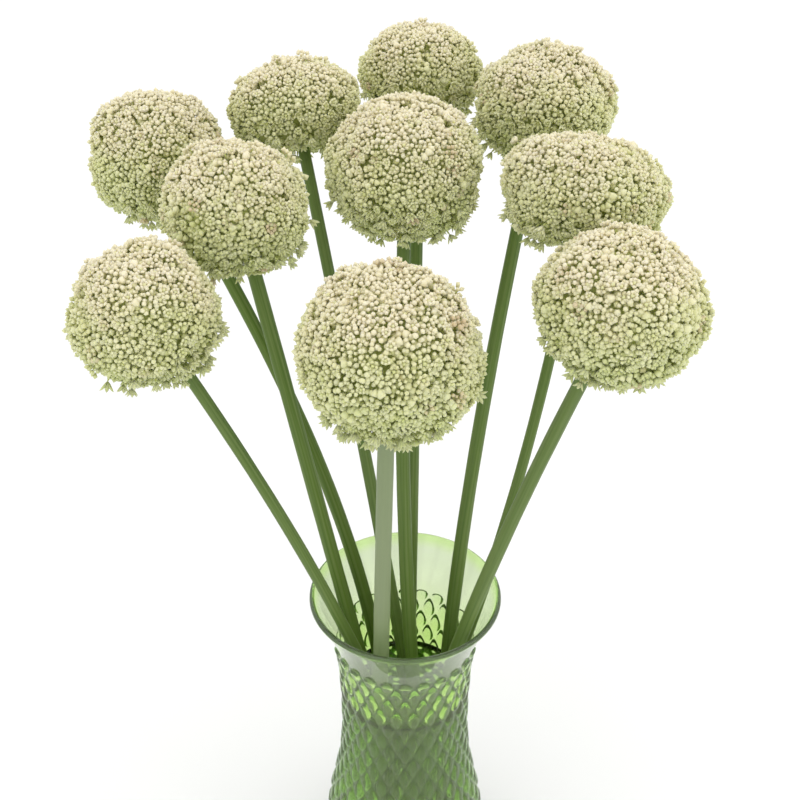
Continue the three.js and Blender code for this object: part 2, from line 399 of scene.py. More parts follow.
def at_outer(heights, inwards=0.0):
    """Radii and heights along the outline, moved inwards by the wall if asked."""
    return np.stack([outer_radius(heights) - inwards, heights], axis=1)


def turned_points(profile, columns, depth=0.0):
    """Rings of points round the Z axis from radii and heights, each radius less its relief."""
    angle = np.arange(columns) * 2 * math.pi / columns
    radius = profile[:, :1] - depth
    height = np.broadcast_to(profile[:, 1:], (len(profile), columns))
    return np.stack([radius * np.cos(angle), radius * np.sin(angle), height], axis=-1)


BEVEL = 1.2 * MM
columns = LOZENGES_AROUND * 2 * FINE
rows_up = np.arange(0, PATTERN_ROWS * FINE + 1) / FINE
arch_rows = PATTERN_ROWS + np.arange(1, ARCH_STEPS + 1) * ARCH_STEP
pattern_rows = np.concatenate([rows_up, arch_rows])
pattern_heights = PATTERN_BOTTOM + pattern_rows * PATTERN_ROW_HEIGHT
band_heights = np.linspace(pattern_heights[-1] + 2 * MM, HEIGHT - 4.4 * MM, 12)
inner_heights = np.concatenate([np.linspace(HEIGHT - 5 * MM, 180 * MM, 14), np.linspace(172, 20, 20) * MM])
floor_radius = outer_radius(np.array([FLOOR + FLOOR_CORNER]))[0] - WALL - FLOOR_CORNER * 0.5

outer_part = np.concatenate([
    arc(FOOT_RADIUS - BEVEL, BEVEL, BEVEL, -90, 0, 5),
    arc(FOOT_RADIUS - BEVEL, FOOT_HEIGHT - BEVEL, BEVEL, 0, 60, 4),
    [[FOOT_RADIUS - 0.9 * MM, FOOT_HEIGHT + 1.4 * MM]],
])
lip_part = np.concatenate([
    at_outer(band_heights),
    arc(MOUTH_RADIUS - BEAD_RADIUS, HEIGHT - BEAD_RADIUS, BEAD_RADIUS, -50, 170, 14),
    at_outer(inner_heights, wall(inner_heights)),
    [[floor_radius + 1.2 * MM, FLOOR + 2.2 * MM], [floor_radius - 3 * MM, FLOOR]],
])
profile = np.concatenate([outer_part, at_outer(pattern_heights), lip_part])
column_grid, row_grid = np.meshgrid(np.arange(columns) / FINE, pattern_rows)
depth = np.zeros((len(profile), columns))
pattern_at = len(outer_part)
band_at = pattern_at + len(pattern_rows)
band_fade = np.linspace(0.85, 0, len(band_heights))
depth[band_at:band_at + len(band_heights)] = GROOVE_DEPTH * band_fade[:, None]
depth[pattern_at:pattern_at + len(pattern_rows)] = groove_depth(column_grid, row_grid)
square_row = np.zeros(len(profile) - 1)
square_row[pattern_at:pattern_at + len(pattern_rows)] = np.floor(pattern_rows + 1e-6)
falling = (square_row[:, None] + np.floor(np.arange(columns) / FINE + 1e-6)[None]) % 2 == 1

vase_points, vase_faces = closed_rings(
    turned_points(profile, columns, depth), (0, 0, 0), (0, 0, FLOOR), falling
)

# %% [markdown]
# ### Glass
# Clear glass takes its green mostly from the light's way through it, so the colour is a volume that
# soaks up red and blue: thick and slanted stretches turn deep green by themselves. A light tint by
# height does the rest: green in the pattern and at the lip. The paler, greyer tint in the thin band
# between them is a painted reflection of the bright room on the glass.
# height does the rest: green in the pattern and at the lip, and paler in the thin band between them.
# Eight parts in a hundred of the light are scattered instead of let through, which gives the slight
# haze of moulded glass.

# %% Glass material
GLASS_KEEPS = (0.56, 0.81, 0.08, 1)
GLASS_DENSITY = 150
# Tints by height: green glass in the pattern and at the lip, while the pale stops at 214 and 232 mm are a
# painted reflection of the bright room in the plain band.
TINT_AND_REFLECTION_STOPS = [
    (150 * MM, (0.64, 0.86, 0.32, 1)),
    (182 * MM, (0.79, 0.95, 0.46, 1)),
    (214 * MM, (0.90, 0.955, 0.79, 1)),
    (232 * MM, (0.87, 0.905, 0.83, 1)),
    (238 * MM, (0.78, 0.92, 0.55, 1)),
]

glass, glass_shader = new_material(
    "green_glass",
    Roughness=0.015,
    IOR=1.5,
    Transmission_Weight=0.92,
)
glass_place = add_node(glass, "ShaderNodeTexCoord").outputs["Object"]
glass_height = add_node(glass, "ShaderNodeSeparateXYZ", {0: glass_place}).outputs["Z"]
# The tint climbs through the stops, and in the band it paints in a reflection.
tint = TINT_AND_REFLECTION_STOPS[0][1]
for (low, _), (high, colour) in zip(TINT_AND_REFLECTION_STOPS, TINT_AND_REFLECTION_STOPS[1:]):
    tint = mix_colour(glass, spread(glass, glass_height, low, high), tint, colour)
glass.node_tree.links.new(tint, glass_shader.inputs["Base Color"])
glass_body = add_node(glass, "ShaderNodeVolumeAbsorption", {"Color": GLASS_KEEPS, "Density": GLASS_DENSITY})
glass_output = glass.node_tree.nodes["Material Output"]
glass.node_tree.links.new(glass_body.outputs[0], glass_output.inputs["Volume"])
add_bump(glass, glass_shader, noise(glass, 90.0), 0.06, 0.001)

vase = new_piece("moulded_glass_vase", vase_points, vase_faces)
dress(vase, "vase", glass)

# %% [markdown]
# ## Water
# The water fills the vase to the middle of its neck. Where it meets the glass it climbs a little, and
# that curved edge catches the light as a thin line. Its side lies a hair inside the glass, so that no
# film of air is left between them, because such a film would mirror like silver.

# %% Water
MENISCUS_HEIGHT = 1.3 * MM
MENISCUS_WIDTH = 3.5 * MM
INTO_GLASS = 0.1 * MM
WATER_COLUMNS = 96

wet_heights = np.linspace(20, 160, 22) * MM
edge_radius = outer_radius(np.array([WATER_LEVEL]))[0] - WALL + INTO_GLASS
climb = np.linspace(0, 1, 7)
water_profile = np.concatenate([
    [[floor_radius - 3 * MM, FLOOR + 0.3 * MM], [floor_radius + 1.2 * MM, FLOOR + 2.4 * MM]],
    at_outer(wet_heights, WALL - INTO_GLASS),
    np.stack([
        edge_radius - MENISCUS_WIDTH * climb,
        WATER_LEVEL + MENISCUS_HEIGHT * (1 - climb) ** 2.5,
    ], axis=1),
    [[edge_radius * 0.6, WATER_LEVEL]],
])
water_points, water_faces = closed_rings(
    turned_points(water_profile, WATER_COLUMNS), (0, 0, FLOOR + 0.3 * MM), (0, 0, WATER_LEVEL)
)
water_finish, water_shader = new_material(
    "clear_water",
    Base_Color=(0.99, 1.0, 0.98, 1),
    Roughness=0.0,
    IOR=1.33,
    Transmission_Weight=1.0,
)
add_bump(water_finish, water_shader, noise(water_finish, 60.0), 0.03, 0.001)
water = new_piece("vase_water", water_points, water_faces)
dress(water, "water", water_finish)

# %% [markdown]
# ## The ten flowers
# Each flower is given by six values, the same as in the solid model: the middle of its head, the
# head's radius, how tall the head is beside its width, where its foot stands in the vase, how far the
# middle of its stem bows out from a straight line, and the stem's girth as a share of the thickest.
# The stem's middle line is a straight line plus the bow times a parabola that is one at half way.

# %% Places of the flowers, in millimetres
FLOWERS = [
    {"head": (-131, 83, 470), "radius": 37.5, "tall": 1, "foot": (-14, 24), "bow": (42, -25), "girth": 0.95},
    {"head": (-83, 23, 469), "radius": 37.5, "tall": 0.93, "foot": (9, -14), "bow": (-2, 8), "girth": 1},
    {"head": (-119, -38, 442), "radius": 36, "tall": 0.98, "foot": (18, 4), "bow": (18, -4), "girth": 0.78},
    {"head": (-60, 114, 487), "radius": 36.5, "tall": 0.78, "foot": (19, 21), "bow": (8, -43), "girth": 0.85},
    {"head": (8, 156, 491), "radius": 36.5, "tall": 0.82, "foot": (1, 28), "bow": (-1, -48), "girth": 1},
    {"head": (0, 60, 472), "radius": 41.5, "tall": 0.93, "foot": (20, -19), "bow": (-9, -13), "girth": 0.95},
    {"head": (-8, -62, 437), "radius": 44, "tall": 0.94, "foot": (-17, -8), "bow": (-1, 3), "girth": 1.05,
     "bract": True},
    {"head": (75, 112, 488), "radius": 41, "tall": 0.81, "foot": (24, 12), "bow": (-18, -44), "girth": 0.95},
    {"head": (87, 29, 474), "radius": 42.5, "tall": 0.74, "foot": (-22, 17), "bow": (11, -29), "girth": 0.74},
    {"head": (95, -51, 453), "radius": 39.5, "tall": 0.9, "foot": (-17, -23), "bow": (-6, 14), "girth": 0.92},
]
FOOT_LEVEL = FLOOR + 0.3 * MM


def stem_line(flower):
    """The three vectors of a stem's middle line: its foot, its way to the head, and its bow."""
    foot = np.array([flower["foot"][0] * MM, flower["foot"][1] * MM, FOOT_LEVEL])
    head = np.array(flower["head"]) * MM
    bow = np.array([*flower["bow"], 0]) * MM
    return foot, head - foot, bow


def stem_points(flower, share):
    """Points and directions of the middle line at the given shares of its way."""
    foot, way, bow = stem_line(flower)
    share = np.asarray(share, float)[:, None]
    points = foot + way * share + bow * 4 * share * (1 - share)
    along = way + bow * 4 * (1 - 2 * share)
    return points, along / np.linalg.norm(along, axis=1, keepdims=True)


# %% [markdown]
# ### Stems
# An allium's stem is a smooth round rod, thicker at its foot, with a waxy grey bloom that wears off in
# lengthwise strokes. It is a ring carried along the middle line. Each point stores where it is on
# the skin, as a place on a unit circle and a height, so that the strokes can follow the stem without
# a seam.

# %% Stem surface
STEM_SIDES = 16
STEM_STEPS = 44
STEM_FOOT_RADIUS = 4.8 * MM
STEM_TOP_RADIUS = 3.7 * MM
SOCKET_DEPTH = 12
CORE_SHARE = 0.78
SKIN_LENGTH = 5


def stem_surface(flower, random):
    """Rings of sixteen points square to the middle line. The radius tapers evenly and wavers by one
    part in fifty, and the first ring is slid along the stem until it is level. The stem ends a
    socket's depth inside the core of its head."""
    length = np.linalg.norm(stem_line(flower)[1]) / MM
    end = 1 - (flower["radius"] * flower["tall"] * CORE_SHARE - SOCKET_DEPTH) / length
    share = np.linspace(0, end, STEM_STEPS)
    middle, along = stem_points(flower, share)
    across = np.array([1.0, 0, 0]) - along * along[:, :1]
    across /= np.linalg.norm(across, axis=1, keepdims=True)
    forward = np.cross(along, across)
    angle = np.arange(STEM_SIDES) * 2 * math.pi / STEM_SIDES
    phase = random.uniform(0, 2 * math.pi, 3)
    waver = 1 + 0.012 * np.sin(share * 31 + phase[0]) + 0.008 * np.sin(share * 73 + phase[1])
    taper = STEM_FOOT_RADIUS + (STEM_TOP_RADIUS - STEM_FOOT_RADIUS) * share
    radius = taper * waver * flower["girth"]
    ring = np.cos(angle)[None, :, None] * across[:, None] + np.sin(angle)[None, :, None] * forward[:, None]
    points = middle[:, None] + ring * radius[:, None, None]
    points[0] += along[0] * ((FOOT_LEVEL - points[0, :, 2:]) / along[0, 2])
    on_circle = np.broadcast_arrays(np.cos(angle)[None], np.sin(angle)[None], share[:, None] * SKIN_LENGTH)
    skin = np.stack(on_circle, axis=-1)
    surface, faces = closed_rings(points, points[0].mean(axis=0), points[-1].mean(axis=0))
    skin = np.concatenate([[skin[0].mean(axis=0)], skin.reshape(-1, 3), [skin[-1].mean(axis=0)]])
    return surface, faces, skin


# %% Stem material
stem_finish, stem_shader = new_material("green_stem", Roughness=0.5, Specular_IOR_Level=0.25)
skin_place = stored(stem_finish, "skin").outputs["Vector"]
streak_place = add_node(
    stem_finish, "ShaderNodeMapping", {"Vector": skin_place, "Scale": (1, 1, 0.35)}
).outputs[0]
streaks = spread(stem_finish, noise(stem_finish, 3.2, 4.0, streak_place), 0.38, 0.66)
broad = spread(stem_finish, noise(stem_finish, 1.1, 2.0, streak_place), 0.35, 0.65)
bloom = stored(stem_finish, "bloom").outputs["Fac"]
green = mix_colour(stem_finish, broad, (0.066, 0.128, 0.014, 1), (0.112, 0.182, 0.024, 1))
green = mix_colour(stem_finish, streaks, green, (0.135, 0.200, 0.048, 1))
stem_colour = mix_colour(stem_finish, bloom, green, (0.25, 0.30, 0.17, 1))
stem_finish.node_tree.links.new(stem_colour, stem_shader.inputs["Base Color"])
add_bump(stem_finish, stem_shader, noise(stem_finish, 9.0, 3.0, streak_place), 0.25, 0.0004)

# %% Build the stems
WAXY_FLOWER = 6
FULL_BLOOM = 0.85
MOST_THIN_BLOOM = 0.16
stem_random = np.random.default_rng(11)
for index, flower in enumerate(FLOWERS):
    points, faces, skin = stem_surface(flower, stem_random)
    waxy = FULL_BLOOM if index == WAXY_FLOWER else stem_random.uniform(0.0, MOST_THIN_BLOOM)
    bloom_values = np.full(len(points), waxy)
    stem = new_piece(f"stem_skin_{index + 1:02d}", points, faces, {"skin": skin, "bloom": bloom_values})
    dress(stem, f"stem_{index + 1:02d}", stem_finish)

# %% [markdown]
# ### Florets
# A head is hundreds of small flowers on thin stalks. From a step away they read as a foam of soft
# beads 2 to 4 mm across, with small olive hollows between. Four kinds make that foam: open florets of
# six thick cupped tepals round a swollen green middle, close knots of slim buds, knots of round buds,
# and fluted buds that have just begun to part. Florets that hang at the bottom show longer, pointed
# tepals. Each kind is modelled a few times over at its real size, with ten to forty faces to a bead.

# %% Turns
def turns_towards(axes, rolls):
    """For each axis, a matrix whose third column is that axis and whose first two are square to it,
    rolled about it."""
    helper = np.where(np.abs(axes[:, 2:]) < 0.9, [[0.0, 0, 1]], [[1.0, 0, 0]])
    side = np.cross(helper, axes)
    side /= np.linalg.norm(side, axis=1, keepdims=True)
    other = np.cross(axes, side)
    cosine, sine = np.cos(rolls)[:, None], np.sin(rolls)[:, None]
    return np.stack([side * cosine + other * sine, other * cosine - side * sine, axes], axis=2)


def turned_about_axis(points, turn):
    """Points turned about Z by an angle."""
    cosine, sine = math.cos(turn), math.sin(turn)
    return points @ np.array([[cosine, sine, 0], [-sine, cosine, 0], [0, 0, 1]])


# %% One tepal
TEPAL_STATIONS = np.array([0.36, 0.8])


def tepal(length, width, thickness, lean, curl, cup, tip_power):
    """A thick blade. Its middle line starts on the axis at an angle of lean and turns evenly by curl
    to its tip, which makes it an arc. Its width grows as a root of the way and closes at the tip by
    tip_power: a small power is blunt, a large one pointed. The section has four corners: two edges,
    raised by cup, and the middle of each face."""
    way = TEPAL_STATIONS
    angle = lean + curl * way
    out = length * (math.cos(lean) - np.cos(angle)) / curl
    up = length * (np.sin(angle) - math.sin(lean)) / curl
    shape = way**0.6 * (1 - way) ** tip_power
    shape = shape / shape.max()
    half = width / 2 * shape
    thick = thickness / 2 * shape**0.5
    level = np.zeros(len(way))
    inner = np.stack([-np.cos(angle), level, np.sin(angle)], axis=1)
    middle = np.stack([out + 0.3, level, up], axis=1)
    side = np.array([0.0, 1.0, 0.0])
    corners = np.stack([
        middle - side * half[:, None] + inner * (cup * half)[:, None],
        middle + inner * thick[:, None],
        middle + side * half[:, None] + inner * (cup * half)[:, None],
        middle - inner * thick[:, None],
    ], axis=1)
    tip_angle = lean + curl
    tip = np.array([
        length * (math.cos(lean) - math.cos(tip_angle)) / curl + 0.3,
        0,
        length * (math.sin(tip_angle) - math.sin(lean)) / curl,
    ])
    return closed_rings(corners, (0.1, 0, 0), tip)


# %% Buds and stamens
def bud(width, length, sides, stations, flutes=0.0, greenness=0.1):
    """A closed egg on the axis: the radius of each ring is that of a round ball at its height, with
    the heights pulled a little towards the tip. Three flutes press it in between its lobes by a
    cosine of three times the angle."""
    way = np.array(stations)
    angle = np.arange(sides) * 2 * math.pi / sides
    round_out = np.sqrt(1 - (2 * way**0.9 - 1) ** 2)
    radius = width / 2 * (round_out / round_out.max())[:, None] * (1 + flutes * np.cos(3 * angle))[None]
    rings = np.stack([
        radius * np.cos(angle),
        radius * np.sin(angle),
        np.repeat(length * way[:, None], sides, axis=1),
    ], axis=-1)
    points, faces = closed_rings(rings, (0, 0, 0), (0, 0, length))
    return points, faces, greenness + 0.5 * np.clip(0.3 - points[:, 2] / length, 0, 1)


def stamen(length, lean, turn):
    """A thin three-sided thread that leans out from the axis and swells to a dot at its end."""
    way = np.array([0.86])
    radius = np.array([0.36])
    axis = np.array([math.sin(lean) * math.cos(turn), math.sin(lean) * math.sin(turn), math.cos(lean)])
    side = np.cross(axis, (0, 0, 1.0))
    side /= np.linalg.norm(side)
    other = np.cross(axis, side)
    angle = np.arange(3) * 2 * math.pi / 3
    ring = np.cos(angle)[:, None] * side + np.sin(angle)[:, None] * other
    rings = way[:, None, None] * length * axis + radius[:, None, None] * ring
    points, faces = closed_rings(rings, (0, 0, 0), axis * length)
    return points, faces, np.full(len(points), 0.0)


# %% A floret and a knot of buds
def floret(length, width, thickness, lean, curl, cup, tip_power, middle, stamens=0):
    """Six tepals in two whorls of three round a middle, with stamens between them. The inner whorl
    stands a little closer. Values on the points say how green they are: most at the base."""
    shapes = []
    for k in range(6):
        inner_whorl = k % 2
        own_length = length * (1 - 0.06 * inner_whorl)
        own_lean = lean - 0.14 * inner_whorl
        points, faces = tepal(own_length, width, thickness, own_lean, curl, cup, tip_power)
        greenness = np.clip(0.5 - np.linalg.norm(points, axis=1) / length, 0, 1)
        shapes.append((turned_about_axis(points, k * math.pi / 3), faces, greenness))
    shapes.append(bud(middle, middle * 1.5, 5, (0.35, 0.8), greenness=0.45))
    for k in range(stamens):
        shapes.append(stamen(length * 0.98, lean * 0.6, (k + 0.25) * 2 * math.pi / stamens))
    return joined(shapes)


def knot(shape, around, reach, lean, random):
    """Copies of a bud: one in the middle and the others round it in even turns, at reach from the
    axis. Each leans outwards, and its height, size and turn are moved by a random step."""
    count = around + 1
    angle = np.arange(around) * 2 * math.pi / around + random.uniform(-0.22, 0.22, around)
    out = reach * random.uniform(0.86, 1.12, around)
    places = np.zeros((count, 3))
    places[1:, 0] = out * np.cos(angle)
    places[1:, 1] = out * np.sin(angle)
    places[1:, 2] = -0.16 * out**2 / reach
    places[:, 2] += random.uniform(-0.45, 0.45, count)
    axes = places * (lean / reach, lean / reach, 0) + (0, 0, 1.0)
    axes /= np.linalg.norm(axes, axis=1, keepdims=True)
    turns = turns_towards(axes, random.uniform(0, 2 * math.pi, count))
    points, faces, values, _ = repeated(shape, places, turns, random.uniform(0.8, 1.2, count))
    return points, faces, values


# %% The kinds of floret, in millimetres
VARIANTS = 3
kind_random = np.random.default_rng(5)
ROUND_BUD = bud(2.5, 3.0, 6, (0.58,))
SMALL_BUD = bud(2.2, 3.2, 5, (0.64,))
FLUTED_BUD = bud(3.1, 3.7, 9, (0.24, 0.76), flutes=0.2)
KINDS = {
    "open": [
        floret(3.5, 2.2, 1.4, 1.02 + step, -0.45, 0.1, 0.4, 1.9, stamens=3) for step in (-0.2, 0.0, 0.14)
    ],
    "half_open": [knot(SMALL_BUD, 6, 1.8, 0.6, kind_random) for _ in range(VARIANTS)],
    "knot": [knot(ROUND_BUD, 7, 2.5, 0.5, kind_random) for _ in range(VARIANTS)],
    "fluted": [knot(FLUTED_BUD, 2, 1.9, 0.36, kind_random) for _ in range(VARIANTS)],
    "drooping": [
        floret(5.4, 2.5, 0.9, 0.40 + step, 0.40, 0.30, 0.95, 1.8) for step in (-0.1, 0.06)
    ],
    "filler": [bud(3.6, 4.2, 6, (0.66,), greenness=0.32)],
}
for kind, shapes in KINDS.items():
    size = np.round(np.ptp(shapes[0][0], axis=0), 1)
    print(kind, [len(faces) for _, faces, _ in shapes], "triangles,", size, "mm")


# %% [markdown]
# ### Heads
# Real stalks leave the stem's end in all directions and all have nearly the same length, so the
# florets lie on a ball, or on a somewhat flattened one where the head is young. Even spacing comes
# from the golden angle: each floret turns by it and steps up by an equal share of the skin. Seeded
# random steps then break the order, and some florets sink deeper and leave dark hollows. Green
# fillers stand between them one layer down, and in the middle a smaller core stands for the crowd of
# stalks.

# %% Directions on a flattened ball
GOLDEN_TURN = math.pi * (3 - math.sqrt(5))
BARE_ANGLE = 0.30


def ball_distance(points, tall):
    """Distance from the middle with the heights stretched back: |(x, y, z / tall)|. It is the same
    all over a ball that is flattened to that height."""
    return np.linalg.norm(points / (1, 1, tall), axis=1)


def ball_directions(site_area, radius, tall, jitter, random):
    """Unit vectors over a ball, from its bare cap up to its top. Flattening leaves a ring of the ball
    at height u with sqrt(u² + tall²(1 - u²)) of its skin, and the steps in u follow that, so that
    every site has the same area. Each is then moved by a share of the spacing."""
    heights = np.linspace(-math.cos(BARE_ANGLE), 1, 400)
    skin = np.cumsum(np.sqrt(heights**2 + tall**2 * (1 - heights**2)))
    area = 2 * math.pi * radius**2 * skin[-1] * (heights[1] - heights[0])
    k = np.arange(int(area / site_area))
    up = np.interp((k + 0.5) / len(k) * skin[-1], skin, heights)
    out = np.sqrt(1 - up**2)
    even = np.stack([out * np.cos(k * GOLDEN_TURN), out * np.sin(k * GOLDEN_TURN), up], axis=1)
    moved = even + random.normal(0, jitter * math.sqrt(site_area) / radius, even.shape)
    return moved / np.linalg.norm(moved, axis=1, keepdims=True)


def broad_waves(random):
    """Six random waves over the ball, each a direction and a phase."""
    return random.normal(0, 3.2, (6, 3)), random.uniform(0, 2 * math.pi, 6)


def unevenness(directions, waves):
    """A soft value over the ball, mostly from -1 to 1: the mean of the waves, doubled."""
    vectors, phases = waves
    return np.sin(directions @ vectors.T + phases).mean(axis=1) * 2


# %% Florets of one kind, and their stalks
DROOP = 0.35
STALK_START = 0.9
STALK_SHOULDER = 0.6
STALK_TIP = 0.8
STALK_RADIUS = 0.55


def scattered(kind, skin, normals, sinks, tilt, random):
    """Copies of one kind with their tips near the skin: each is tilted at random, then set back from
    the skin by its own height and its sink. Its variants take turns."""
    axes = normals + random.normal(0, tilt, skin.shape)
    if kind == "drooping":
        axes[:, 2] -= DROOP
    axes /= np.linalg.norm(axes, axis=1, keepdims=True)
    sizes = random.uniform(0.88, 1.1, len(skin))
    rolls = random.uniform(0, 2 * math.pi, len(skin))
    shapes = KINDS[kind]
    heights = np.array([shape[0][:, 2].max() for shape in shapes])
    variant = np.arange(len(skin)) % len(shapes)
    places = skin - normals * sinks[:, None] - axes * (heights[variant] * sizes)[:, None]
    turns = turns_towards(axes, rolls)
    groups = []
    for number, shape in enumerate(shapes):
        own = variant == number
        groups.append(repeated(shape, places[own], turns[own], sizes[own]))
    return groups, places


def stalks(bases, core_radius, tall):
    """A thin three-sided stalk from inside the core to each floret's base: one closed spindle each,
    widest at its shoulder just below the base, with its tip inside the floret."""
    count = len(bases)
    axes = bases / np.linalg.norm(bases, axis=1, keepdims=True)
    turns = turns_towards(axes, np.zeros(count))
    angle = np.arange(3) * 2 * math.pi / 3
    cosine, sine = np.cos(angle)[None, :, None], np.sin(angle)[None, :, None]
    ring = cosine * turns[:, None, :, 0] + sine * turns[:, None, :, 1]
    start = bases * (core_radius * STALK_START / ball_distance(bases, tall))[:, None]
    rings = bases[:, None] - axes[:, None] * STALK_SHOULDER + ring * STALK_RADIUS
    points = np.concatenate([start[:, None], rings, (bases + axes * STALK_TIP)[:, None]], axis=1)
    faces = np.array([[0, 2, 1], [0, 3, 2], [0, 1, 3], [4, 1, 2], [4, 2, 3], [4, 3, 1]])
    faces = (faces[None] + np.arange(count)[:, None, None] * 5).reshape(-1, 3)
    points = points.reshape(-1, 3)
    return points, faces, np.full(len(points), 1.0), np.repeat(np.arange(count), 5)


# %% The core and the papery bract
BRACT_TOP = (-6.0, -5.0, -37.0)
BRACT_LENGTH = 18.0
BRACT_WIDTH = 7.5
BRACT_THICKNESS = 0.3
BRACT_SWING = 3.0
BRACT_TIP_SWING = 3.4
BRACT_WAVE = 1.5
CORE_ROWS = 14
CORE_SIDES = 20
CORE_LUMPS = 0.04


def core_surface(radius, tall, random):
    """A flattened ball whose radius is pushed in and out by broad waves, like the mass of stalks
    inside."""
    up = np.cos(np.linspace(0.12, math.pi - 0.12, CORE_ROWS))[:, None]
    angle = np.linspace(0, 2 * math.pi, CORE_SIDES, endpoint=False)[None]
    out = np.sqrt(1 - up**2)
    ball = np.stack(np.broadcast_arrays(out * np.cos(angle), out * np.sin(angle), up), axis=-1)
    waves = unevenness(ball.reshape(-1, 3), broad_waves(random)).reshape(CORE_ROWS, CORE_SIDES, 1)
    rings = ball * (1, 1, tall) * radius * (1 + CORE_LUMPS * waves)
    points, faces = closed_rings(rings, (0, 0, radius * tall), (0, 0, -radius * tall))
    return points, faces, np.full(len(points), 1.0), np.zeros(len(points), int)


def bract_surface():
    """The papery sheath that once held the buds: it hangs beside the stem as a thin pointed blade.
    Its section is a flat ellipse that is bent like a gutter, carried down a gently curling line."""
    way = np.linspace(0.06, 0.94, 9)
    angle = np.linspace(0, 2 * math.pi, 12, endpoint=False)
    half_width = BRACT_WIDTH / 2 * np.sin(np.pi * way**0.7) ** 0.8
    across = half_width[:, None] * np.cos(angle)
    gutter = 0.16 * across**2 / (BRACT_WIDTH / 2)
    rings = np.stack([
        BRACT_TOP[0] - BRACT_SWING * way[:, None] ** 2 + across,
        BRACT_TOP[1] - BRACT_WAVE * np.sin(3 * way)[:, None] + gutter + BRACT_THICKNESS * np.sin(angle),
        np.broadcast_to(BRACT_TOP[2] - BRACT_LENGTH * way[:, None], across.shape),
    ], axis=-1)
    tip = (BRACT_TOP[0] - BRACT_TIP_SWING, BRACT_TOP[1], BRACT_TOP[2] - BRACT_LENGTH)
    points, faces = closed_rings(rings, BRACT_TOP, tip)
    return points, faces, np.full(len(points), -1.0), np.zeros(len(points), int)


# %% The rule for a head: areas in square millimetres, depths in millimetres, and shares of one
SITE_AREA = 25.5
SITE_JITTER = 0.13
SITE_TILT = 0.16
SINK_MEAN = 0.8
SINK_SPREAD = 0.5
LUMPINESS = 0.07
HOLLOW_FINENESS = 1.8
HOLLOW_START = 0.7
HOLLOW_DEPTH = 5
STRAY_SHARE = 0.05
STRAY_RISE = (1.2, 2.6)
OPEN_FROM = 0.72
HALF_OPEN_FROM = 0.36
FLUTED_FROM = 0.26
DROOP_BELOW = -0.42
DROOP_SHARE = 0.6
DANGLE_SHARE = 0.35
DANGLE_DROP = (1.5, 5.0)
FILLER_AREA = 21
FILLER_JITTER = 0.12
FILLER_TILT = 0.3
FILLER_SHARE = 0.945
FILLER_SINK = 2.0


# %% One head
def skin_size(directions, waves):
    """The lumpy skin's size in each direction, as a share of the head's radius. The hyperbolic
    tangent rounds the highest lumps off, so that no head grows a peak."""
    return 1 + LUMPINESS * (np.tanh(unevenness(directions, waves)) - 0.3)


def merged_groups(groups, flower, waves, random):
    """All groups as one mesh, with three values on each point: how green it is, how far out it is
    from the core to the lumpy skin, and a random tint for each floret."""
    starts = np.cumsum([0] + [len(group[0]) for group in groups[:-1]])
    points = np.concatenate([group[0] for group in groups])
    faces = np.concatenate([group[1] + start for group, start in zip(groups, starts)])
    green = np.concatenate([group[2] for group in groups])
    tint = np.concatenate([random.uniform(0, 1, group[3].max() + 1)[group[3]] for group in groups])
    distance = ball_distance(points, flower["tall"])
    directions = points / (1, 1, flower["tall"]) / distance[:, None]
    distance = distance / (flower["radius"] * skin_size(directions, waves))
    return points, faces, {
        "green": green,
        "outwards": np.clip((distance - CORE_SHARE) / (1 - CORE_SHARE), 0, 1.2),
        "tint": tint,
    }


def head_surface(flower, seed):
    """All the florets, fillers and stalks of one head round its core, in millimetres round its
    middle, with the stem coming in from below. Returns points, faces and the values on the points."""
    random = np.random.default_rng(seed)
    radius = float(flower["radius"])
    tall = flower["tall"]
    directions = ball_directions(SITE_AREA, radius, tall, SITE_JITTER, random)
    waves = broad_waves(random)
    skin = directions * (1, 1, tall) * (radius * skin_size(directions, waves))[:, None]
    normals = directions / (1, 1, tall)
    normals /= np.linalg.norm(normals, axis=1, keepdims=True)
    hollow_waves = unevenness(directions * HOLLOW_FINENESS, broad_waves(random))
    hollows = np.clip(hollow_waves - HOLLOW_START, 0, 1) * HOLLOW_DEPTH
    count = len(directions)
    sinks = random.normal(SINK_MEAN, SINK_SPREAD, count) + hollows
    choice = random.uniform(0, 1, count)
    strays = random.uniform(0, 1, count) < STRAY_SHARE
    sinks -= strays * random.uniform(*STRAY_RISE, count)
    droops = (directions[:, 2] < DROOP_BELOW) & (choice < DROOP_SHARE)
    dangles = droops & (random.uniform(0, 1, count) < DANGLE_SHARE)
    sinks -= dangles * random.uniform(*DANGLE_DROP, count)
    kinds = {
        "open": ~droops & (choice >= OPEN_FROM),
        "half_open": ~droops & (choice >= HALF_OPEN_FROM) & (choice < OPEN_FROM),
        "knot": ~droops & (choice < FLUTED_FROM),
        "fluted": ~droops & (choice >= FLUTED_FROM) & (choice < HALF_OPEN_FROM),
        "drooping": droops,
    }
    groups, bases = [], []
    for kind, chosen in kinds.items():
        copies, places = scattered(kind, skin[chosen], normals[chosen], sinks[chosen], SITE_TILT, random)
        groups += copies
        bases.append(places)
    filler_directions = ball_directions(FILLER_AREA, radius, tall, FILLER_JITTER, random)
    filler_size = radius * FILLER_SHARE * skin_size(filler_directions, waves)
    filler_skin = filler_directions * (1, 1, tall) * filler_size[:, None]
    filler_sinks = random.uniform(0, FILLER_SINK, len(filler_directions))
    groups += scattered("filler", filler_skin, filler_directions, filler_sinks, FILLER_TILT, random)[0]
    groups.append(stalks(np.concatenate(bases), radius * CORE_SHARE, tall))
    groups.append(core_surface(radius * CORE_SHARE, tall, random))
    if flower.get("bract"):
        groups.append(bract_surface())
    return merged_groups(groups, flower, waves, random)
